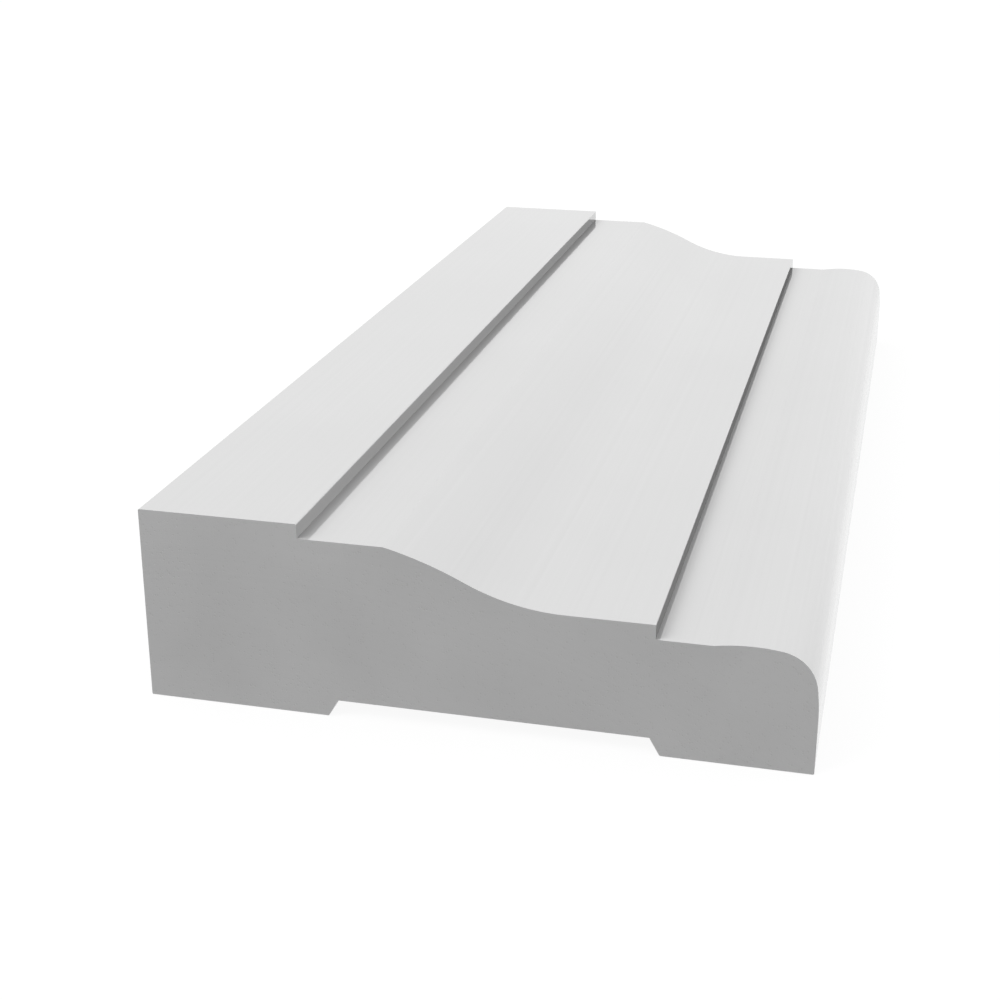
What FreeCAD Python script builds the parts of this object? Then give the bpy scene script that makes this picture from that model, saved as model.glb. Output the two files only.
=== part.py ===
import FreeCAD, Part
import math
import os

import Sketcher

# Architrave moulding: one square-cut length of door and window casing.
# It lies on its back with the moulded face up.
# X runs across the width from the thick band to the thin nose, Y runs along the length, Z is up.
# The origin is on the floor, below the middle of the moulding.

NODE = "architrave_moulding"

# Driving dimensions in millimetres, and one angle in degrees: name, value, meaning.
DIMENSIONS = [
    ("stock_length", 203.2, "length between the two sawn ends"),
    ("band_thickness", 27.0, "height of the outer band, the thickest member"),
    ("band_width", 21.8, "width of the band's flat top"),
    ("band_step", 2.0, "drop from the band to the upper flat"),
    ("upper_flat_width", 11.6, "width of the flat between the band and the ogee"),
    ("ogee_width", 23.7, "width of the whole ogee"),
    ("ogee_drop", 6.8, "height that the ogee falls"),
    ("ogee_crown_radius", 51.0, "radius of the ogee's round upper half"),
    ("ogee_hollow_radius", 30.2, "radius of the ogee's hollow lower half"),
    ("lower_flat_width", 11.35, "width of the flat below the ogee"),
    ("nose_step", 2.0, "drop from the lower flat to the nose"),
    ("nose_flat_width", 7.2, "width of the flat before the nose swells"),
    ("nose_round_width", 13.25, "width of the rounded nose"),
    ("nose_round_drop", 8.8, "height from the nose's flat down to the upright edge"),
    ("nose_crown_rise", 0.45, "height that the nose swells above its flat"),
    ("nose_crown_radius", 26.0, "radius of the nose's top"),
    ("nose_shoulder_radius", 5.3, "radius of the nose's corner"),
    ("nose_side_radius", 30.0, "radius that eases the corner into the upright edge"),
    ("outer_foot_width", 25.3, "width of the back's flat under the band"),
    ("inner_foot_width", 19.4, "width of the back's flat under the nose"),
    ("relief_depth", 2.4, "depth of the shallow recess between the two feet"),
    ("relief_flank_angle", 30.0, "lean of the recess's flanks, off upright"),
    ("arris_radius", 0.2, "rounding that the die leaves on the long outer corners"),
]

SIZE = {alias: value for alias, value, meaning in DIMENSIONS}

# Two points that are nearer than this many millimetres are taken as one.
SAME_PLACE = 0.001


def add_sheet(doc):
    """The spreadsheet of driving dimensions: name, value, meaning."""
    sheet = doc.addObject("Spreadsheet::Sheet", "Dimensions")
    for row, (alias, value, meaning) in enumerate(DIMENSIONS, start=1):
        sheet.set(f"A{row}", alias)
        sheet.set(f"B{row}", str(value))
        sheet.setAlias(f"B{row}", alias)
        sheet.set(f"C{row}", meaning)
    return sheet


def circles_meet(centre_a, radius_a, centre_b, radius_b):
    """The point where two circles cross, on the left when looking from centre a to centre b."""
    across = centre_b - centre_a
    along = (across.Length**2 + radius_a**2 - radius_b**2) / (2 * across.Length)
    aside = math.sqrt(radius_a**2 - along**2)
    ahead = across.normalize()
    left = FreeCAD.Vector(-ahead.y, ahead.x, 0)
    return centre_a + ahead * along + left * aside


def step_from(centre, towards, distance):
    """The point at a distance from a centre, on the line towards another point."""
    return centre + (towards - centre).normalize() * distance


class Outline:
    """A closed outline, drawn clockwise: each line or arc starts where the last one ended."""

    def __init__(self, sketch, start):
        self.sketch = sketch
        self.pen = start
        self.pieces = []

    def add(self, geometry, pen, first, last, smooth):
        """Add a line or arc, whose ends are numbered first and last in drawing order."""
        index = self.sketch.addGeometry(geometry, False)
        if self.pieces:
            self.join(self.pieces[-1], (index, first, last), smooth)
        self.pieces.append((index, first, last))
        self.pen = pen
        return index

    def join(self, before, after, smooth):
        kind = "Tangent" if smooth else "Coincident"
        self.sketch.addConstraint(Sketcher.Constraint(kind, before[0], before[2], after[0], after[1]))

    def line(self, pen, smooth=False):
        return self.add(Part.LineSegment(self.pen, pen), pen, 1, 2, smooth)

    def level(self, pen, smooth=False):
        index = self.line(pen, smooth)
        self.sketch.addConstraint(Sketcher.Constraint("Horizontal", index))
        return index

    def upright(self, pen, smooth=False):
        index = self.line(pen, smooth)
        if not smooth:
            self.sketch.addConstraint(Sketcher.Constraint("Vertical", index))
        return index

    def arc(self, centre, pen, hollow=False, smooth=True):
        """An arc about a centre: a sketch keeps arcs counter-clockwise, so a round one runs back."""
        normal = FreeCAD.Vector(0, 0, 1)
        radius = (pen - centre).Length
        angles = [math.atan2(p.y - centre.y, p.x - centre.x) for p in (self.pen, pen)]
        first, last = (1, 2) if hollow else (2, 1)
        if not hollow:
            angles.reverse()
        geometry = Part.ArcOfCircle(Part.Circle(centre, normal, radius), *angles)
        return self.add(geometry, pen, first, last, smooth)

    def close(self):
        self.join(self.pieces[-1], self.pieces[0], smooth=False)


def bind(sketch, name, expression, *constraint):
    """Add a named dimension to the sketch and tie it to the spreadsheet."""
    sketch.addConstraint(Sketcher.Constraint(*constraint))
    sketch.renameConstraint(sketch.ConstraintCount - 1, name)
    sketch.setExpression(f"Constraints.{name}", expression)


def bind_size(sketch, name, *constraint):
    """A dimension that is one cell of the spreadsheet."""
    bind(sketch, name, f"Dimensions.{name}", *constraint, SIZE[name])


def section_corners():
    """The section's corners and arc centres, worked out from the driving dimensions."""
    width = sum(SIZE[name] for name in (
        "band_width", "upper_flat_width", "ogee_width",
        "lower_flat_width", "nose_flat_width", "nose_round_width",
    ))
    corner = {}
    corner["outer_heel"] = FreeCAD.Vector(-width / 2, 0, 0)
    corner["inner_heel"] = FreeCAD.Vector(width / 2, 0, 0)

    corner["band_outer"] = corner["outer_heel"] + FreeCAD.Vector(0, SIZE["band_thickness"], 0)
    corner["band_inner"] = corner["band_outer"] + FreeCAD.Vector(SIZE["band_width"], 0, 0)
    corner["band_root"] = corner["band_inner"] - FreeCAD.Vector(0, SIZE["band_step"], 0)

    corner["ogee_top"] = corner["band_root"] + FreeCAD.Vector(SIZE["upper_flat_width"], 0, 0)
    corner["ogee_foot"] = corner["ogee_top"] + FreeCAD.Vector(SIZE["ogee_width"], -SIZE["ogee_drop"], 0)
    crown, hollow = SIZE["ogee_crown_radius"], SIZE["ogee_hollow_radius"]
    corner["ogee_hollow_centre"] = corner["ogee_foot"] + FreeCAD.Vector(0, hollow, 0)
    corner["ogee_crown_centre"] = circles_meet(
        corner["ogee_hollow_centre"], crown + hollow, corner["ogee_top"], crown)
    corner["ogee_middle"] = step_from(corner["ogee_crown_centre"], corner["ogee_hollow_centre"], crown)

    corner["step_edge"] = corner["ogee_foot"] + FreeCAD.Vector(SIZE["lower_flat_width"], 0, 0)
    corner["step_root"] = corner["step_edge"] - FreeCAD.Vector(0, SIZE["nose_step"], 0)
    corner["nose_start"] = corner["step_root"] + FreeCAD.Vector(SIZE["nose_flat_width"], 0, 0)
    corner["nose_end"] = corner["nose_start"] + FreeCAD.Vector(
        SIZE["nose_round_width"], -SIZE["nose_round_drop"], 0)
    top, rise = SIZE["nose_crown_radius"], SIZE["nose_crown_rise"]
    shoulder, side = SIZE["nose_shoulder_radius"], SIZE["nose_side_radius"]
    corner["nose_crown_centre"] = corner["nose_start"] + FreeCAD.Vector(
        math.sqrt(top**2 - (top - rise)**2), rise - top, 0)
    corner["nose_side_centre"] = corner["nose_end"] - FreeCAD.Vector(side, 0, 0)
    corner["nose_shoulder_centre"] = circles_meet(
        corner["nose_side_centre"], side - shoulder, corner["nose_crown_centre"], top - shoulder)
    corner["nose_top_end"] = step_from(
        corner["nose_crown_centre"], corner["nose_shoulder_centre"], top)
    corner["nose_side_start"] = step_from(
        corner["nose_side_centre"], corner["nose_shoulder_centre"], side)

    run = SIZE["relief_depth"] * math.tan(math.radians(SIZE["relief_flank_angle"]))
    corner["outer_foot_edge"] = corner["outer_heel"] + FreeCAD.Vector(SIZE["outer_foot_width"], 0, 0)
    corner["inner_foot_edge"] = corner["inner_heel"] - FreeCAD.Vector(SIZE["inner_foot_width"], 0, 0)
    corner["relief_outer"] = corner["outer_foot_edge"] + FreeCAD.Vector(run, SIZE["relief_depth"], 0)
    corner["relief_inner"] = corner["inner_foot_edge"] + FreeCAD.Vector(-run, SIZE["relief_depth"], 0)
    return corner


def draw_band(outline, corner):
    """Outer edge, the band's flat top, the step down from it and the upper flat."""
    sketch = outline.sketch
    edge = outline.upright(corner["band_outer"])
    top = outline.level(corner["band_inner"])
    riser = outline.upright(corner["band_root"])
    flat = outline.level(corner["ogee_top"])
    bind_size(sketch, "band_thickness", "DistanceY", edge, 1, edge, 2)
    bind_size(sketch, "band_width", "DistanceX", top, 1, top, 2)
    bind_size(sketch, "band_step", "DistanceY", riser, 2, riser, 1)
    bind_size(sketch, "upper_flat_width", "DistanceX", flat, 1, flat, 2)


def draw_ogee(outline, corner):
    """A round arc that leaves the upper flat at a crisp angle, and a hollow arc that ends level."""
    sketch = outline.sketch
    crown = outline.arc(corner["ogee_crown_centre"], corner["ogee_middle"], smooth=False)
    hollow = outline.arc(corner["ogee_hollow_centre"], corner["ogee_foot"], hollow=True)
    flat = outline.level(corner["step_edge"], smooth=True)
    bind_size(sketch, "ogee_width", "DistanceX", crown, 2, hollow, 2)
    bind_size(sketch, "ogee_drop", "DistanceY", hollow, 2, crown, 2)
    bind_size(sketch, "ogee_crown_radius", "Radius", crown)
    bind_size(sketch, "ogee_hollow_radius", "Radius", hollow)
    bind_size(sketch, "lower_flat_width", "DistanceX", flat, 1, flat, 2)


def draw_nose(outline, corner):
    """The second step, its flat, and a nose of three smooth arcs that ends in the upright edge."""
    sketch = outline.sketch
    riser = outline.upright(corner["step_root"])
    flat = outline.level(corner["nose_start"])
    top = outline.arc(corner["nose_crown_centre"], corner["nose_top_end"], smooth=False)
    shoulder = outline.arc(corner["nose_shoulder_centre"], corner["nose_side_start"])
    side = outline.arc(corner["nose_side_centre"], corner["nose_end"])
    edge = outline.upright(corner["inner_heel"], smooth=True)
    sketch.addConstraint(Sketcher.Constraint("Vertical", edge))
    bind_size(sketch, "nose_step", "DistanceY", riser, 2, riser, 1)
    bind_size(sketch, "nose_flat_width", "DistanceX", flat, 1, flat, 2)
    bind_size(sketch, "nose_round_width", "DistanceX", top, 2, side, 1)
    bind_size(sketch, "nose_round_drop", "DistanceY", side, 1, top, 2)
    bind_size(sketch, "nose_crown_radius", "Radius", top)
    bind_size(sketch, "nose_shoulder_radius", "Radius", shoulder)
    bind_size(sketch, "nose_side_radius", "Radius", side)
    bind(sketch, "nose_crown_centre_depth", "Dimensions.nose_crown_radius - Dimensions.nose_crown_rise",
         "DistanceY", top, 3, top, 2, SIZE["nose_crown_radius"] - SIZE["nose_crown_rise"])


def draw_back(outline, corner):
    """Two feet and the shallow recess between them, which lets the moulding sit on an uneven wall."""
    sketch = outline.sketch
    inner_foot = outline.level(corner["inner_foot_edge"])
    inner_flank = outline.line(corner["relief_inner"])
    outline.level(corner["relief_outer"])
    outer_flank = outline.line(corner["outer_foot_edge"])
    outer_foot = outline.level(corner["outer_heel"])
    outline.close()
    sketch.addConstraint(Sketcher.Constraint("Equal", inner_flank, outer_flank))
    bind_size(sketch, "inner_foot_width", "DistanceX", inner_foot, 2, inner_foot, 1)
    bind_size(sketch, "outer_foot_width", "DistanceX", outer_foot, 2, outer_foot, 1)
    bind_size(sketch, "relief_depth", "DistanceY", outer_flank, 2, outer_flank, 1)
    lean = math.radians(90 + SIZE["relief_flank_angle"])
    bind(sketch, "relief_flank_slope", "90 deg + Dimensions.relief_flank_angle * 1 deg",
         "Angle", inner_flank, lean)
    return inner_foot, outer_foot


def add_section(body):
    """The whole section as one closed, fully constrained sketch, square to the length."""
    section = body.newObject("Sketcher::SketchObject", "Section")
    plane = next(f for f in body.Origin.OriginFeatures if f.Role == "XZ_Plane")
    section.AttachmentSupport = [(plane, "")]
    section.MapMode = "FlatFace"
    corner = section_corners()
    outline = Outline(section, corner["outer_heel"])
    draw_band(outline, corner)
    draw_ogee(outline, corner)
    draw_nose(outline, corner)
    inner_foot, outer_foot = draw_back(outline, corner)
    section.addConstraint(Sketcher.Constraint("Horizontal", outer_foot, 2, inner_foot, 1))
    section.addConstraint(Sketcher.Constraint("Symmetric", outer_foot, 2, inner_foot, 1, -1, 1))
    return section, corner


def add_length(body, section):
    """The section, run out evenly both ways to the stock length."""
    length = body.newObject("PartDesign::Pad", "Length")
    length.Profile = section
    length.SideType = "Symmetric"
    length.setExpression("Length", "Dimensions.stock_length")
    return length


def long_edges(shape, points):
    """The names of the edges that run the whole length through the given points of the section."""
    names = []
    for number, edge in enumerate(shape.Edges, start=1):
        near, far = (vertex.Point for vertex in (edge.Vertexes[0], edge.Vertexes[-1]))
        whole_length = math.isclose(abs(far.y - near.y), SIZE["stock_length"], abs_tol=SAME_PLACE)
        at_a_point = any(math.hypot(near.x - p.x, near.z - p.y) < SAME_PLACE for p in points)
        if whole_length and at_a_point:
            names.append(f"Edge{number}")
    return names


def ease_arrises(body, length, corner):
    """The small rounding on every long outer corner: the sawn ends stay sharp."""
    arrises = ("outer_heel", "band_outer", "band_inner", "step_edge",
               "inner_heel", "inner_foot_edge", "outer_foot_edge")
    names = long_edges(length.Shape, [corner[name] for name in arrises])
    if len(names) != len(arrises):
        raise RuntimeError(f"found {len(names)} of {len(arrises)} arrises")
    eased = body.newObject("PartDesign::Fillet", "EasedArrises")
    eased.Base = (length, names)
    eased.setExpression("Radius", "Dimensions.arris_radius")
    return eased


def check(doc, body, section):
    """Stop before anything is written if a feature has failed or the section is loose."""
    for item in doc.Objects:
        if "Invalid" in item.State or "Error" in item.State:
            raise RuntimeError(f"{item.Name} failed: {item.State}")
    if not section.FullyConstrained:
        raise RuntimeError("the section is not fully constrained")
    if body.Shape.isNull() or not body.Shape.isValid():
        raise RuntimeError(f"{body.Label} is not a valid solid")


doc = FreeCAD.newDocument("ArchitraveMoulding")
add_sheet(doc)
body = doc.addObject("PartDesign::Body", "Moulding")
body.Label = NODE
section, corner = add_section(body)
length = add_length(body, section)
doc.recompute()
ease_arrises(body, length, corner)
doc.recompute()
check(doc, body, section)

os.makedirs("parts", exist_ok=True)
body.Shape.exportStep(f"parts/{body.Label}.step")

box = body.Shape.BoundBox
area = Part.Face(section.Shape.Wires[0]).Area
print(f"{body.Label}: {box.XLength:.2f} x {box.YLength:.2f} x {box.ZLength:.2f} mm, low point {box.ZMin:.3f}")
print(f"section {area:.1f} mm2, volume {body.Shape.Volume:.0f} mm3, solids {len(body.Shape.Solids)}")
print(f"section by length {area * box.YLength:.0f} mm3, faces {len(body.Shape.Faces)}")
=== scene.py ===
# %% [markdown]
# # A length of architrave moulding
#
# The object is the trim that covers the joint between a door frame and the wall. It is one piece of white
# cellular PVC: the plastic leaves a steel die as one endless bar, with every step and curve already in
# it, and a saw cuts the bar to length.
#
# That is also how it is made here. A section is drawn once, pulled out along the length, and its two ends
# are closed as a saw leaves them. After that come the two finishes, which are the glossy skin from the
# die and the matt, finely porous cut, and then a plain white studio.

# %% Load the frame
import math

import bmesh
import bpy
from mathutils import Matrix, Vector


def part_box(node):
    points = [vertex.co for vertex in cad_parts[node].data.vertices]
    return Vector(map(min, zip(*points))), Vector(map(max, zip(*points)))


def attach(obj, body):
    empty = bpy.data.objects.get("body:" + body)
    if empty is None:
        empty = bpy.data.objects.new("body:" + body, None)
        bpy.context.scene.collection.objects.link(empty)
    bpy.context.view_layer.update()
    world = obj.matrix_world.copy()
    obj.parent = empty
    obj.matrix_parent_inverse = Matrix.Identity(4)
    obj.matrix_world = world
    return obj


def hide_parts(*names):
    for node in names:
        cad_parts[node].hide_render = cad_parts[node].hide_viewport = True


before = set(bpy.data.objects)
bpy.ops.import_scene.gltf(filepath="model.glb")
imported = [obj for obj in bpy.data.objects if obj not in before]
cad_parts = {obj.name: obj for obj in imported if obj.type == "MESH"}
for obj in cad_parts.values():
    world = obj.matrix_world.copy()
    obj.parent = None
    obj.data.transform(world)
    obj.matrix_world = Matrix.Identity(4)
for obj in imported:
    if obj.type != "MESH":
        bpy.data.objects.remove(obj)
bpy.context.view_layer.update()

NODE = "architrave_moulding"
MM = 0.001
low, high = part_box(NODE)
print(f"the frame's box: {(high - low) / MM} mm")

# %% [markdown]
# ## Sizes
#
# The width, the thickness and the length come from the frame, so the mesh can't drift away from the solid
# that it stands for. The members across the face have sizes of their own: from left to right a thick
# outer band, a small step, a flat, an ogee (a round curve that turns into a hollow one), a second flat, a
# second step and a rounded nose. The back has a shallow recess, so that the moulding bears on two feet
# and sits tight on a wall that isn't quite flat.

# %% Sizes of the members, in metres
left, near, base = low
right, far, top = high

band_width = 21.8 * MM
step_height = 2.0 * MM
upper_flat_width = 11.6 * MM
ogee_width = 23.7 * MM
ogee_drop = 6.8 * MM
ogee_round_radius = 51.0 * MM
ogee_hollow_radius = 30.2 * MM
lower_flat_width = 11.35 * MM
nose_flat_width = 7.2 * MM
nose_drop = 8.8 * MM
nose_rise = 0.45 * MM
nose_top_radius = 26.0 * MM
nose_shoulder_radius = 5.3 * MM
nose_side_radius = 30.0 * MM
outer_foot_width = 25.3 * MM
inner_foot_width = 19.4 * MM
recess_depth = 2.4 * MM
recess_flank = math.radians(30)
arris_radius = 0.2 * MM

band_end = left + band_width
upper_flat_end = band_end + upper_flat_width
ogee_end = upper_flat_end + ogee_width
lower_flat_end = ogee_end + lower_flat_width
nose_flat_end = lower_flat_end + nose_flat_width
upper_flat_z = top - step_height
lower_flat_z = upper_flat_z - ogee_drop
nose_flat_z = lower_flat_z - step_height
nose_side_z = nose_flat_z - nose_drop
recess_z = base + recess_depth
recess_slope = recess_depth * math.tan(recess_flank)
print(f"levels: band {top / MM:.1f}, flats {upper_flat_z / MM:.1f}, {lower_flat_z / MM:.1f} and "
      f"{nose_flat_z / MM:.1f} mm above the floor")

# %% [markdown]
# ## Drawing with a pen
#
# A section like this could be typed in as a list of points, but then nobody could change a radius. Two of
# bmesh's operators make a better pen. `extrude_vert_indiv` pulls a new vertex out of the last one, which
# draws a straight line. `spin` carries the last vertex round a centre and leaves a chain of short edges
# behind it, which draws an arc. The steps of an arc are about a degree and a half, fine enough that no
# facet shows.

# %% A pen for straight lines and arcs
ARC_STEP = math.radians(1.5)
section = bmesh.new()


def line_to(pen, x, z):
    """Draws a straight line from the pen's vertex to (x, z), and returns the vertex there."""
    tip = bmesh.ops.extrude_vert_indiv(section, verts=[pen])["verts"][0]
    tip.co = (x, near, z)
    return tip


def arc_to(pen, centre, x, z):
    """Swings the pen's vertex round a centre to (x, z), the short way, and returns the vertex there."""
    cx, cz = centre
    start = math.atan2(pen.co.x - cx, pen.co.z - cz)
    turn = math.remainder(math.atan2(x - cx, z - cz) - start, math.tau)
    steps = max(3, round(abs(turn) / ARC_STEP))
    swung = bmesh.ops.spin(section, geom=[pen], cent=(cx, near, cz), axis=(0, 1, 0), angle=turn,
                           steps=steps, use_merge=False, use_duplicate=False)
    tip = swung["geom_last"][0]
    tip.co = (x, near, z)
    return tip


print(f"the pen draws arcs in steps of {math.degrees(ARC_STEP):.1f} degrees")

# %% [markdown]
# ## Where two arcs touch
#
# Two arcs run into each other without a kink when the point where they touch lies on the line between
# their centres. So the unknown centre lies at a known distance from one known point and at another from a
# second one. There are two such places, one on each side of the line between the two points, and one of
# them is wanted.

# %% A helper that finds an arc's centre
def meeting(centre_a, radius_a, centre_b, radius_b):
    """The point at two known distances from two centres, on the right of the way from a to b."""
    a, b = Vector(centre_a), Vector(centre_b)
    way = b - a
    along = (way.length_squared + radius_a ** 2 - radius_b ** 2) / (2 * way.length)
    aside = math.sqrt(radius_a ** 2 - along ** 2)
    forward = way.normalized()
    return a + forward * along + Vector((forward.y, -forward.x)) * aside


tried = meeting((0, 0), 3, (0, 5), 4)
print(f"tried on a triangle with sides 3, 4 and 5: {tried.x:.1f}, {tried.y:.1f}")

# %% [markdown]
# ## The outer band and the ogee
#
# The pen starts at the heel of the outer foot and goes round clockwise. The ogee is two arcs that run
# into each other without a kink. The hollow one ends level on the lower flat, so its centre is straight
# above that point. The round one starts at the edge of the upper flat, and where two arcs of opposite
# bend touch, their centres are both radii apart. These two facts fix the second centre.

# %% Draw the band, the first step and the ogee
outer_heel = pen = section.verts.new((left, near, base))
band_outer = pen = line_to(pen, left, top)
band_inner = pen = line_to(pen, band_end, top)
upper_root = pen = line_to(pen, band_end, upper_flat_z)
ogee_edge = pen = line_to(pen, upper_flat_end, upper_flat_z)

hollow_centre = Vector((ogee_end, lower_flat_z + ogee_hollow_radius))
round_centre = meeting((upper_flat_end, upper_flat_z), ogee_round_radius,
                       hollow_centre, ogee_round_radius + ogee_hollow_radius)
turning_point = round_centre + (hollow_centre - round_centre).normalized() * ogee_round_radius
pen = arc_to(pen, round_centre, *turning_point)
pen = arc_to(pen, hollow_centre, ogee_end, lower_flat_z)
print(f"the ogee turns from round to hollow {(turning_point.x - left) / MM:.1f} mm from the outer edge")

# %% [markdown]
# ## The nose and the back
#
# The nose is three arcs in a row: a flat one over the top, a tight one round the shoulder and another
# flat one that ends upright at the side. Arcs of the same bend touch where their centres are one radius
# less the other apart, so the shoulder's centre is found by the same helper. The back is all straight
# lines.

# %% Draw the lower flat, the second step, the nose and the back
step_edge = pen = line_to(pen, lower_flat_end, lower_flat_z)
lower_root = pen = line_to(pen, lower_flat_end, nose_flat_z)
nose_edge = pen = line_to(pen, nose_flat_end, nose_flat_z)

nose_centre_drop = nose_top_radius - nose_rise
nose_centre_in = math.sqrt(nose_top_radius ** 2 - nose_centre_drop ** 2)
nose_centre = Vector((nose_flat_end + nose_centre_in, nose_flat_z - nose_centre_drop))
side_centre = Vector((right - nose_side_radius, nose_side_z))
shoulder_centre = meeting(nose_centre, nose_top_radius - nose_shoulder_radius,
                          side_centre, nose_side_radius - nose_shoulder_radius)
shoulder_start = nose_centre + (shoulder_centre - nose_centre).normalized() * nose_top_radius
shoulder_end = side_centre + (shoulder_centre - side_centre).normalized() * nose_side_radius
pen = arc_to(pen, nose_centre, *shoulder_start)
pen = arc_to(pen, shoulder_centre, *shoulder_end)
pen = arc_to(pen, side_centre, right, nose_side_z)

inner_heel = pen = line_to(pen, right, base)
inner_foot_edge = pen = line_to(pen, right - inner_foot_width, base)
recess_inner = pen = line_to(pen, right - inner_foot_width - recess_slope, recess_z)
recess_outer = pen = line_to(pen, left + outer_foot_width + recess_slope, recess_z)
outer_foot_edge = pen = line_to(pen, left + outer_foot_width, base)
section.edges.new((pen, outer_heel))
print(f"the section has {len(section.verts)} points")

# %% [markdown]
# ## Out of the die
#
# Pulling the outline along the length gives the skin, a tube of long strips. The die leaves marks that
# run the whole length at one place of the section, so the finish needs a map of the skin laid flat:
# across it the distance round the section, along it the distance from the near end. That map is easiest
# to write now, while every corner of every strip still knows its place in the outline. Both directions
# are in metres, so a pattern keeps its real scale.

# %% Pull the outline into a skin, and map it
outline = list(section.verts)
girth = {}
walked = 0.0
for here, ahead in zip(outline, outline[1:] + outline[:1]):
    girth[here] = walked
    walked += (ahead.co - here.co).length

skin_map = section.loops.layers.uv.new("skin")
near_rim = list(section.edges)
pulled = bmesh.ops.extrude_edge_only(section, edges=near_rim)["geom"]
far_points = [part for part in pulled if isinstance(part, bmesh.types.BMVert)]
bmesh.ops.translate(section, verts=far_points, vec=(0, far - near, 0))

for strip in section.faces:
    strip.smooth = True
    reached = [girth[point] for point in strip.verts if point in girth]
    # The last strip ends where the first one starts, so there the first point counts as a whole way round
    closes = max(reached) - min(reached) > walked / 2
    for corner in strip.loops:
        point = corner.vert
        if point not in girth:
            point = next(e.other_vert(point) for e in point.link_edges if e.other_vert(point) in girth)
        around = walked if closes and girth[point] == 0.0 else girth[point]
        corner[skin_map].uv = (around, corner.vert.co.y - near)
print(f"{walked / MM:.1f} mm round the section, {len(section.faces)} strips")

# %% [markdown]
# ## The two cuts
#
# A saw leaves a flat face with sharp edges. Each rim is filled with one face, which gets the second
# material, and its map is simply its own plane. The operator can fill a rim either way round, so the
# normals are made to point outwards afterwards, which for a closed solid Blender can work out by itself.

# %% Close both ends
SKIN, CUT = 0, 1
CM = 10 * MM
NEXT_TO_NOTHING = 0.01 * MM
far_rim = [edge for edge in section.edges
           if all(abs(point.co.y - far) < NEXT_TO_NOTHING for point in edge.verts)]
for rim in (near_rim, far_rim):
    face = bmesh.ops.edgeloop_fill(section, edges=rim, mat_nr=CUT, use_smooth=False)["faces"][0]
    for corner in face.loops:
        corner[skin_map].uv = (corner.vert.co.x - left, corner.vert.co.z - base)
    for edge in rim:
        edge.smooth = False
bmesh.ops.recalc_face_normals(section, faces=section.faces)
print(f"closed solid of {section.calc_volume() / CM ** 3:.1f} cubic centimetres")

# %% [markdown]
# ## Crisp lines and soft arrises
#
# No die makes a perfectly sharp outer edge. An arris, the edge where two faces meet, comes out with a
# radius of about a fifth of a millimetre, and it is this thin round that catches the light. A bevel makes
# it. Its offset is the distance from the corner to where the round begins, which is the radius times the
# tangent of half the turn. Where the section has a crisp inner corner or a crease, the long edge is only
# marked sharp, so that the shading breaks there.

# %% Mark the creases and round the arrises
def long_edge(point):
    """The edge that runs along the whole length from a point of the near rim."""
    return max(point.link_edges, key=lambda edge: edge.calc_length())


ARRIS_SEGMENTS = 4
for point in (upper_root, ogee_edge, lower_root, nose_edge, recess_inner, recess_outer):
    long_edge(point).smooth = False
for point in (outer_heel, band_outer, band_inner, step_edge, inner_heel, inner_foot_edge, outer_foot_edge):
    edge = long_edge(point)
    offset = arris_radius * math.tan(edge.calc_face_angle() / 2)
    bmesh.ops.bevel(section, geom=[edge], offset=offset, offset_type="OFFSET", affect="EDGES",
                    segments=ARRIS_SEGMENTS, profile=0.5, material=-1)
print(f"{len(section.faces)} faces with the arrises rounded")

# %% [markdown]
# ## From bmesh to a piece of the object
#
# The mesh becomes an object at the origin. It rides on the frame's only body, and the CAD solid of the same
# shape is hidden. A Weighted Normal modifier lets the wide flats decide the normals that they share with
# the thin arrises. Without it a flat would shade as if it were slightly bent.

# %% Make the piece
mesh = bpy.data.meshes.new("moulding")
section.to_mesh(mesh)
section.free()
moulding = bpy.data.objects.new("moulding", mesh)
bpy.context.scene.collection.objects.link(moulding)
even = moulding.modifiers.new("even flats", "WEIGHTED_NORMAL")
even.mode = "FACE_AREA"
even.keep_sharp = True

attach(moulding, "root")
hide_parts(NODE)
print(f"{len(mesh.polygons)} faces, {len(mesh.vertices)} vertices")

# %% [markdown]
# ## Tools for the finishes
#
# Both materials are graphs of nodes. Three short helpers keep the graphs readable: one adds a node with
# its settings and inputs, one starts a group with named sockets, and one places a group in a graph. A
# group is a finish effect that is built once and placed where it is needed, with values for that place.

# %% Helpers for nodes and groups
def add(tree, kind, settings=None, **inputs):
    """Adds a node. An input is a value, or another node's output socket to link from.

    An input's name has an underscore for each space, and _0 stands for the first input of all.
    """
    made = tree.nodes.new(kind)
    for name, value in (settings or {}).items():
        setattr(made, name, value)
    for name, value in inputs.items():
        socket = made.inputs[int(name[1:]) if name[1:].isdigit() else name.replace("_", " ")]
        if isinstance(value, bpy.types.NodeSocket):
            tree.links.new(value, socket)
        else:
            socket.default_value = value
    return made


VECTOR = "NodeSocketVector"
FLOAT = "NodeSocketFloat"


def start_group(name, inputs, output):
    """A new group with the inputs given by name and kind, and one output that is a float."""
    tree = bpy.data.node_groups.new(name, "ShaderNodeTree")
    for label, kind in inputs.items():
        tree.interface.new_socket(label, in_out="INPUT", socket_type=kind)
    tree.interface.new_socket(output, in_out="OUTPUT", socket_type=FLOAT)
    return tree, tree.nodes.new("NodeGroupInput").outputs, tree.nodes.new("NodeGroupOutput").inputs


def place(tree, group, **inputs):
    """Places a group in a tree and sets or links its inputs."""
    return add(tree, "ShaderNodeGroup", {"node_tree": group}, **inputs)


print("helpers ready for the node trees")

# %% [markdown]
# ## Clouding
#
# White plastic is never one even white. Where the melt was a little hotter or held a little more pigment,
# it is a touch lighter or darker, in soft clouds a few centimetres across. Both the skin and the cut show
# it, so it is a group. It reads Object coordinates, which are metres here, and a size in metres goes in
# as well.

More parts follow.
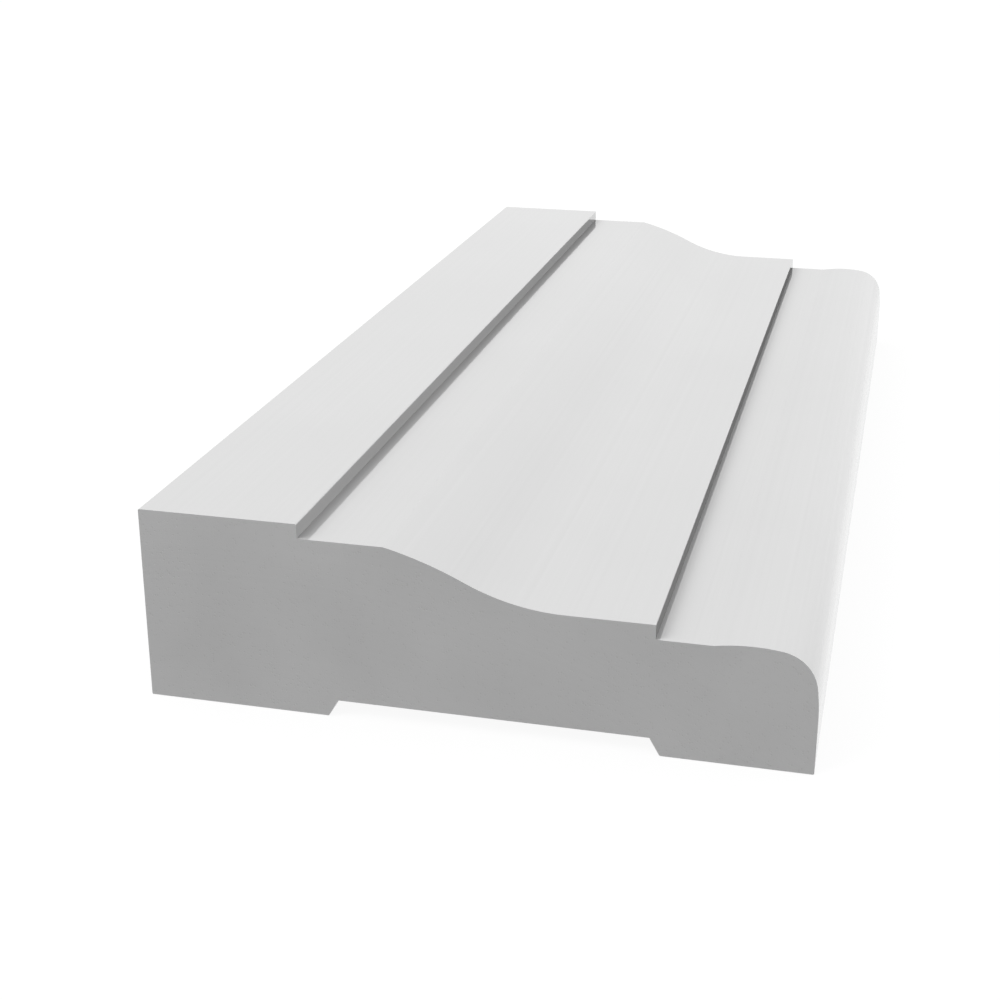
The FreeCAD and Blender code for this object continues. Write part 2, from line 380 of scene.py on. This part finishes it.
# %% Group: soft clouds of tone
clouding, given, out = start_group("clouding", {"Vector": VECTOR, "Size": FLOAT}, "Tone")
per_metre = add(clouding, "ShaderNodeMath", {"operation": "DIVIDE"}, _0=1.0, _1=given["Size"])
clouds = add(clouding, "ShaderNodeTexNoise", Vector=given["Vector"], Scale=per_metre.outputs[0],
             Detail=2.0, Roughness=0.5)
clouding.links.new(clouds.outputs["Fac"], out["Tone"])
print("group made:", clouding.name)

# %% [markdown]
# ## Grain
#
# Close to, the surface has a very fine unevenness: the skin like the peel of an orange, the cut like
# felt. It is the same noise at another size, so one group serves both.

# %% Group: fine grain
grain, given, out = start_group("grain", {"Vector": VECTOR, "Size": FLOAT}, "Height")
per_metre = add(grain, "ShaderNodeMath", {"operation": "DIVIDE"}, _0=1.0, _1=given["Size"])
peel = add(grain, "ShaderNodeTexNoise", Vector=given["Vector"], Scale=per_metre.outputs[0],
           Detail=3.0, Roughness=0.55)
grain.links.new(peel.outputs["Fac"], out["Height"])
print("group made:", grain.name)

# %% [markdown]
# ## Die lines
#
# A scratch or a crumb in the die draws a hair line along the whole bar. The lines depend on the distance
# round the section only, so a noise of one dimension makes them, read from the map of the skin. Each line
# comes and goes a little along the length, as the melt's pressure changes, which a second, long noise
# does.

# %% Group: die lines
die_lines, given, out = start_group("die lines", {"Map": VECTOR, "Spacing": FLOAT, "Run": FLOAT}, "Height")
laid_flat = add(die_lines, "ShaderNodeSeparateXYZ", Vector=given["Map"])
across = add(die_lines, "ShaderNodeMath", {"operation": "DIVIDE"}, _0=laid_flat.outputs["X"],
             _1=given["Spacing"])
lines = add(die_lines, "ShaderNodeTexNoise", {"noise_dimensions": "1D"}, W=across.outputs[0],
            Scale=1.0, Detail=3.0, Roughness=0.65)
along = add(die_lines, "ShaderNodeMath", {"operation": "DIVIDE"}, _0=laid_flat.outputs["Y"],
            _1=given["Run"])
place_of = add(die_lines, "ShaderNodeCombineXYZ", X=across.outputs[0], Y=along.outputs[0])
fading = add(die_lines, "ShaderNodeTexNoise", {"noise_dimensions": "2D"}, Vector=place_of.outputs[0],
             Scale=1.0, Detail=1.0)
strength = add(die_lines, "ShaderNodeMapRange", Value=fading.outputs["Fac"], From_Min=0.3, From_Max=0.7,
               To_Min=0.35, To_Max=1.0)
centred = add(die_lines, "ShaderNodeMath", {"operation": "SUBTRACT"}, _0=lines.outputs["Fac"], _1=0.5)
faded = add(die_lines, "ShaderNodeMath", {"operation": "MULTIPLY_ADD"}, _0=centred.outputs[0],
            _1=strength.outputs[0], _2=0.5)
die_lines.links.new(faded.outputs[0], out["Height"])
print("group made:", die_lines.name)

# %% [markdown]
# ## The skin
#
# The skin is a hard, glossy white. Its gloss shows most beside the two steps, where each flat mirrors the
# shaded riser next to it as a thin dark strip. Bare plastic has an index of refraction (IOR) of about
# 1.5, but the strips are darker than that explains, as they are under a clear gloss coat, so the IOR is
# 2. The roughness is low. The die lines vary it a little, and the lines and the peel tilt the normal by
# very little. The clouds and the lines also tint the white by about one part in a hundred.

# %% Material: glossy skin from the die
WHITE = (0.78, 0.78, 0.78, 1.0)
WHITE_LOW = (0.755, 0.755, 0.755, 1.0)
SKIN_IOR = 2.0
SKIN_CLOUD_SIZE = 35 * MM
DIE_LINE_SPACING = 0.9 * MM
DIE_LINE_RUN = 90 * MM
DIE_LINE_HEIGHT = 0.0025 * MM
PEEL_SIZE = 0.6 * MM
PEEL_HEIGHT = 0.0006 * MM
SKIN_ROUGHNESS_LOW = 0.05
SKIN_ROUGHNESS_HIGH = 0.09


def start_material(name, **constants):
    """A material with a Principled BSDF, the constants on its own sockets, and a source of coordinates."""
    material = bpy.data.materials.new(name)
    material.use_nodes = True
    tree = material.node_tree
    tree.nodes.clear()
    shader = add(tree, "ShaderNodeBsdfPrincipled", **constants)
    add(tree, "ShaderNodeOutputMaterial", Surface=shader.outputs["BSDF"])
    return material, tree, shader, add(tree, "ShaderNodeTexCoord").outputs["Object"]


skin, tree, shader, position = start_material("skin", IOR=SKIN_IOR)
on_map = add(tree, "ShaderNodeUVMap", {"uv_map": "skin"}).outputs["UV"]
clouds = place(tree, clouding, Vector=position, Size=SKIN_CLOUD_SIZE)
marks = place(tree, die_lines, Map=on_map, Spacing=DIE_LINE_SPACING, Run=DIE_LINE_RUN)
peel = place(tree, grain, Vector=position, Size=PEEL_SIZE)

tone = add(tree, "ShaderNodeMath", {"operation": "MULTIPLY"}, _0=clouds.outputs["Tone"],
           _1=marks.outputs["Height"])
spread = add(tree, "ShaderNodeMapRange", Value=tone.outputs[0], From_Min=0.12, From_Max=0.38)
colour = add(tree, "ShaderNodeMix", {"data_type": "RGBA"}, Factor=spread.outputs[0])
colour.inputs["A"].default_value = WHITE_LOW
colour.inputs["B"].default_value = WHITE
gloss = add(tree, "ShaderNodeMapRange", Value=marks.outputs["Height"], From_Min=0.3, From_Max=0.7,
            To_Min=SKIN_ROUGHNESS_LOW, To_Max=SKIN_ROUGHNESS_HIGH)
lined = add(tree, "ShaderNodeBump", Height=marks.outputs["Height"], Distance=DIE_LINE_HEIGHT, Strength=1.0)
peeled = add(tree, "ShaderNodeBump", Height=peel.outputs["Height"], Distance=PEEL_HEIGHT, Strength=1.0,
             Normal=lined.outputs["Normal"])
tree.links.new(colour.outputs["Result"], shader.inputs["Base Color"])
tree.links.new(gloss.outputs["Result"], shader.inputs["Roughness"])
tree.links.new(peeled.outputs["Normal"], shader.inputs["Normal"])
print("material made:", skin.name)

# %% [markdown]
# ## The sawn cut
#
# Under its skin the plastic is a fine closed foam. The saw opens the cells that lie in its way, so the
# cut is matt and full of tiny pits, each about a fifth of a millimetre, of uneven size. A Voronoi texture
# has one cell round each of its scattered points. Each of those points gets a pit of its own reach, or
# none.

# %% Group: opened cells
cells, given, out = start_group("opened cells", {"Vector": VECTOR, "Size": FLOAT}, "Open")
per_metre = add(cells, "ShaderNodeMath", {"operation": "DIVIDE"}, _0=1.0, _1=given["Size"])
foam = add(cells, "ShaderNodeTexVoronoi", {"voronoi_dimensions": "3D"}, Vector=given["Vector"],
           Scale=per_metre.outputs[0])
chance = add(cells, "ShaderNodeSeparateColor", Color=foam.outputs["Color"])
reach = add(cells, "ShaderNodeMapRange", Value=chance.outputs[0], From_Min=0.35, From_Max=1.0,
            To_Min=0.0, To_Max=0.5)
inside = add(cells, "ShaderNodeMath", {"operation": "SUBTRACT"}, _0=reach.outputs[0],
             _1=foam.outputs["Distance"])
pit = add(cells, "ShaderNodeMapRange", {"interpolation_type": "SMOOTHSTEP"}, Value=inside.outputs[0],
          From_Min=0.0, From_Max=0.22)
cells.links.new(pit.outputs["Result"], out["Open"])
print("group made:", cells.name)

# %% [markdown]
# ## Saw grooves
#
# Each tooth of the saw leaves a faint groove. The blade is large and round, so the grooves are long, flat
# arcs about a centre far below the bench. The distance to that centre, on the plane of the cut, is all
# that a groove depends on, and a noise of one dimension makes them.

# %% Group: saw grooves
BLADE_CENTRE = (-30 * MM, 0.0, -110 * MM)

saw_grooves, given, out = start_group("saw grooves", {"Vector": VECTOR, "Spacing": FLOAT}, "Height")
on_the_cut = add(saw_grooves, "ShaderNodeVectorMath", {"operation": "MULTIPLY"}, _0=given["Vector"],
                 _1=(1, 0, 1))
from_blade = add(saw_grooves, "ShaderNodeVectorMath", {"operation": "DISTANCE"}, _0=on_the_cut.outputs[0],
                 _1=BLADE_CENTRE)
counted = add(saw_grooves, "ShaderNodeMath", {"operation": "DIVIDE"}, _0=from_blade.outputs["Value"],
              _1=given["Spacing"])
uneven = add(saw_grooves, "ShaderNodeTexNoise", {"noise_dimensions": "1D"}, W=counted.outputs[0],
             Scale=1.0, Detail=2.0, Roughness=0.6)
saw_grooves.links.new(uneven.outputs["Fac"], out["Height"])
print("group made:", saw_grooves.name)

# %% [markdown]
# ## The finish of the cut
#
# The cut is the same white plastic, so it shares the clouds. A pit is painted a little darker, as painted
# shade in its hollow, and it is rougher than the face round it. Three bumps lie on each other, each one
# passing its normal on to the next: the grooves first, then the felt that the teeth pull up, and the pits
# last.

# %% Material: sawn cut
CUT_WHITE_LOW = (0.70, 0.70, 0.70, 1.0)
CUT_IOR = 1.5
CUT_CLOUD_SIZE = 20 * MM
CELL_SIZE = 0.32 * MM
FELT_SIZE = 0.25 * MM
GROOVE_SPACING = 1.1 * MM
GROOVE_DEPTH = 0.012 * MM
FELT_HEIGHT = 0.004 * MM
PIT_DEPTH = 0.014 * MM
PIT_SHADE = 0.22
CUT_ROUGHNESS = 0.55
PIT_ROUGHNESS = 0.8

cut, tree, shader, position = start_material("sawn cut", IOR=CUT_IOR)
clouds = place(tree, clouding, Vector=position, Size=CUT_CLOUD_SIZE)
pits = place(tree, cells, Vector=position, Size=CELL_SIZE)
felt = place(tree, grain, Vector=position, Size=FELT_SIZE)
grooves = place(tree, saw_grooves, Vector=position, Spacing=GROOVE_SPACING)

# The pits are painted darker here, as painted shade in their hollows, and the clouds vary the white at
# random.
shade = add(tree, "ShaderNodeMath", {"operation": "MULTIPLY_ADD"}, _0=pits.outputs["Open"],
            _1=-PIT_SHADE, _2=clouds.outputs["Tone"])
spread = add(tree, "ShaderNodeMapRange", Value=shade.outputs[0], From_Min=0.1, From_Max=0.65)
colour = add(tree, "ShaderNodeMix", {"data_type": "RGBA"}, Factor=spread.outputs[0])
colour.inputs["A"].default_value = CUT_WHITE_LOW
colour.inputs["B"].default_value = WHITE
grooved = add(tree, "ShaderNodeBump", Height=grooves.outputs["Height"], Distance=GROOVE_DEPTH, Strength=1.0)
felted = add(tree, "ShaderNodeBump", Height=felt.outputs["Height"], Distance=FELT_HEIGHT, Strength=1.0,
             Normal=grooved.outputs["Normal"])
pitted = add(tree, "ShaderNodeBump", {"invert": True}, Height=pits.outputs["Open"], Distance=PIT_DEPTH,
             Strength=1.0, Normal=felted.outputs["Normal"])
dull = add(tree, "ShaderNodeMapRange", Value=pits.outputs["Open"], To_Min=CUT_ROUGHNESS,
           To_Max=PIT_ROUGHNESS)
tree.links.new(colour.outputs["Result"], shader.inputs["Base Color"])
tree.links.new(dull.outputs["Result"], shader.inputs["Roughness"])
tree.links.new(pitted.outputs["Normal"], shader.inputs["Normal"])
mesh.materials.append(skin)
mesh.materials.append(cut)
print("material made:", cut.name)

# %% [markdown]
# ## The camera
#
# The picture is taken from above the right of the near end, close enough for strong perspective. The
# place, the lens and the turn were worked out from the straight edges of the moulding. A camera starts
# out looking down, with its top towards +Y, so it is tipped up first, then turned to the left. A tenth of
# a degree of roll is left over.

# %% Make the camera
CAMERA_PLACE = (50.49 * MM, -290.18 * MM, 108.04 * MM)
CAMERA_TURN = math.radians(13.805)
CAMERA_DOWN = math.radians(21.166)
CAMERA_ROLL = math.radians(0.119)
PICTURE_WIDTH = 1000
FOCAL_PIXELS = 1697.8
SENSOR_WIDTH = 36.0
NEAREST_SEEN = 10 * MM

camera_data = bpy.data.cameras.new("camera")
camera_data.sensor_width = SENSOR_WIDTH
camera_data.lens = SENSOR_WIDTH * FOCAL_PIXELS / PICTURE_WIDTH
camera_data.clip_start = NEAREST_SEEN
camera = bpy.data.objects.new("camera", camera_data)
camera.matrix_world = (Matrix.Translation(CAMERA_PLACE) @ Matrix.Rotation(CAMERA_TURN, 4, "Z")
                       @ Matrix.Rotation(math.pi / 2 - CAMERA_DOWN, 4, "X")
                       @ Matrix.Rotation(CAMERA_ROLL, 4, "Z"))
bpy.context.scene.collection.objects.link(camera)
bpy.context.scene.camera = camera
print(f"a lens of {camera_data.lens:.1f} mm")

# %% [markdown]
# ## Floor and surroundings
#
# The object lies on a white ground that runs into a white background. A white that is only seen, and
# doesn't pour light on the object, comes from the kind of ray that meets it: the camera's rays and the
# mirrored ones find white, the others find what really lights the room. The floor adds a little true
# diffuse white for the camera, so that the moulding keeps a soft shadow where it meets the ground.

# %% Tell the rays that see from the rays that light
def seen_or_mirrored(tree):
    """1 for a ray from the camera, a mirror or through glass, and 0 for a ray that carries light."""
    path = add(tree, "ShaderNodeLightPath").outputs
    either = add(tree, "ShaderNodeMath", {"operation": "MAXIMUM"}, _0=path["Is Camera Ray"],
                 _1=path["Is Glossy Ray"])
    return add(tree, "ShaderNodeMath", {"operation": "MAXIMUM"}, _0=either.outputs[0],
               _1=path["Is Transmission Ray"]).outputs[0]


print("helper ready for the floor and the world")

# %% [markdown]
# ## The floor
#
# The floor is one large square. It lies a tenth of a millimetre under the feet, so that two faces don't
# fight for the same place.

# %% Make the floor
WHITE_LIGHT = (1.0, 1.0, 1.0, 1.0)
FLOOR_REACH = 4.0
FLOOR_GAP = 0.1 * MM
SEEN_GLOW = 0.93
SEEN_DIFFUSE = 0.12
BOUNCE_GREY = 0.05

floor_z = base - FLOOR_GAP
ground = bmesh.new()
bmesh.ops.create_grid(ground, x_segments=1, y_segments=1, size=FLOOR_REACH)
bmesh.ops.translate(ground, verts=ground.verts, vec=(0, 0, floor_z))
floor_mesh = bpy.data.meshes.new("floor")
ground.to_mesh(floor_mesh)
ground.free()
floor = bpy.data.objects.new("floor", floor_mesh)
bpy.context.scene.collection.objects.link(floor)

floor_paint = bpy.data.materials.new("floor")
floor_paint.use_nodes = True
tree = floor_paint.node_tree
tree.nodes.clear()
glow = add(tree, "ShaderNodeEmission", Color=WHITE_LIGHT, Strength=SEEN_GLOW)
chalk = add(tree, "ShaderNodeBsdfDiffuse", Color=(SEEN_DIFFUSE,) * 3 + (1,))
seen = add(tree, "ShaderNodeAddShader", _0=glow.outputs[0], _1=chalk.outputs[0])
dark = add(tree, "ShaderNodeBsdfDiffuse", Color=(BOUNCE_GREY,) * 3 + (1,))
chosen = add(tree, "ShaderNodeMixShader", _0=seen_or_mirrored(tree), _1=dark.outputs[0],
             _2=seen.outputs[0])
add(tree, "ShaderNodeOutputMaterial", Surface=chosen.outputs[0])
floor_mesh.materials.append(floor_paint)
print(f"a floor {2 * FLOOR_REACH} m wide")

# %% [markdown]
# ## The world
#
# A studio that is white all round needs no picture of itself. One white is what is seen and mirrored, and
# a weaker one is the dome that lights the object evenly from above and from every side.

# %% Make the world
DOME = 0.59

world = bpy.data.worlds.new("studio")
bpy.context.scene.world = world
world.use_nodes = True
tree = world.node_tree
tree.nodes.clear()
white = add(tree, "ShaderNodeBackground", Color=WHITE_LIGHT, Strength=1.0)
dome = add(tree, "ShaderNodeBackground", Color=WHITE_LIGHT, Strength=DOME)
chosen = add(tree, "ShaderNodeMixShader", _0=seen_or_mirrored(tree), _1=dome.outputs[0],
             _2=white.outputs[0])
add(tree, "ShaderNodeOutputWorld", Surface=chosen.outputs[0])
print(f"a white surrounding that lights the object as a dome of {DOME}")

# %% [markdown]
# ## Lamps
#
# The white dome gives most of the light. Two large softboxes help it. One at the front left is for the
# sawn end and lets the steps throw a soft shade, and a low one at the back right keeps the far end
# bright. They stand across from each other, so that the slopes of the ogee are as bright as the flats
# beside it. Each is aimed from a bearing and a height in degrees. The mirrored white of the surroundings
# is all that the gloss should show, so the lamps themselves are hidden from mirrored rays.

# %% Aim the softboxes
AIM = Vector((0.0, 0.0, (base + top) / 2))
LAMP_DISTANCE = 1.5
SOFTBOX_WIDTH = 0.7
SOFTBOXES = [("front left", 315, 40, 0.33), ("back right", 135, 12, 0.42)]


def hide_from_view(lamp):
    """Puts a lamp in the scene so that it lights the object, but is neither seen nor mirrored."""
    lamp.visible_camera = False
    lamp.visible_glossy = False
    bpy.context.scene.collection.objects.link(lamp)


def softbox(name, bearing, height, level):
    """A square lamp. Bearing 0 is the near end's side (-Y), 90 the nose's (+X).

    Level 1 shows a face that is square on to the lamp as brightly as its colour is written. Light of pi
    watts a square metre does that, and a lamp of P watts gives P / (pi * distance ** 2) of it.
    """
    turn, rise = math.radians(bearing), math.radians(height)
    way = Vector((math.sin(turn) * math.cos(rise), -math.cos(turn) * math.cos(rise), math.sin(rise)))
    data = bpy.data.lights.new(name, "AREA")
    data.shape = "SQUARE"
    data.size = SOFTBOX_WIDTH
    data.energy = level * math.pi ** 2 * LAMP_DISTANCE ** 2
    lamp = bpy.data.objects.new(name, data)
    lamp.location = AIM + way * LAMP_DISTANCE
    lamp.rotation_mode = "QUATERNION"
    lamp.rotation_quaternion = (-way).to_track_quat("-Z", "Y")
    hide_from_view(lamp)


for name, bearing, height, level in SOFTBOXES:
    softbox(name, bearing, height, level)
    print(f"softbox {name}: bearing {bearing}, height {height} degrees, level {level}")

# %% [markdown]
# ## White cards
#
# The side of the nose is upright, so half of what it faces is the ground, which sends no light back. A
# photographer would lay a white card on each side of the moulding. A card is a lamp that lies flat on the
# floor and shines up. It can reach the side next to it and nothing else, because the moulding's own edge
# shields the faces behind it. The cards lie a little way off, so that the foot of each side doesn't get
# more light than the part above. The left one is weaker, and only keeps the band's upright side apart
# from the sawn end where both are seen. A lamp's surface looks as bright as a white of level
# P / (pi * area), where P is its power, and that gives the power.

# %% Lay a card on each side
CARD_GAP = 15 * MM
CARD_THICKNESS = 0.05 * MM
CARD_WIDTH = 0.14
CARDS = [("right card", right + CARD_GAP + CARD_WIDTH / 2, 1.0),
         ("left card", left - CARD_GAP - CARD_WIDTH / 2, 0.8)]

for name, middle, level in CARDS:
    data = bpy.data.lights.new(name, "AREA")
    data.shape = "RECTANGLE"
    data.size = CARD_WIDTH
    data.size_y = far - near
    data.energy = level * math.pi * data.size * data.size_y
    card = bpy.data.objects.new(name, data)
    card.location = (middle, (near + far) / 2, floor_z + CARD_THICKNESS)
    card.rotation_euler = (math.pi, 0, 0)
    hide_from_view(card)
print(f"{len(CARDS)} cards laid")

# %% [markdown]
# ## Light that doesn't bounce
#
# In the picture the risers of the two steps stay dark, although a bright flat lies right beside them, and
# the gloss mirrors only the white surroundings. So no light goes from face to face. In Cycles this is a
# limit on the bounces: a ray that leaves the surface still finds the dome and the lamps, but not a second
# lit surface.

# %% Limit the bounces
bpy.context.scene.cycles.diffuse_bounces = 0
bpy.context.scene.cycles.glossy_bounces = 0
print("no bounce between faces")

# %% [markdown]
# ## Finish
#
# The view transform is Standard, so a colour is shown as it is written.

# %% Set the view and finish
bpy.context.scene.view_settings.view_transform = "Standard"
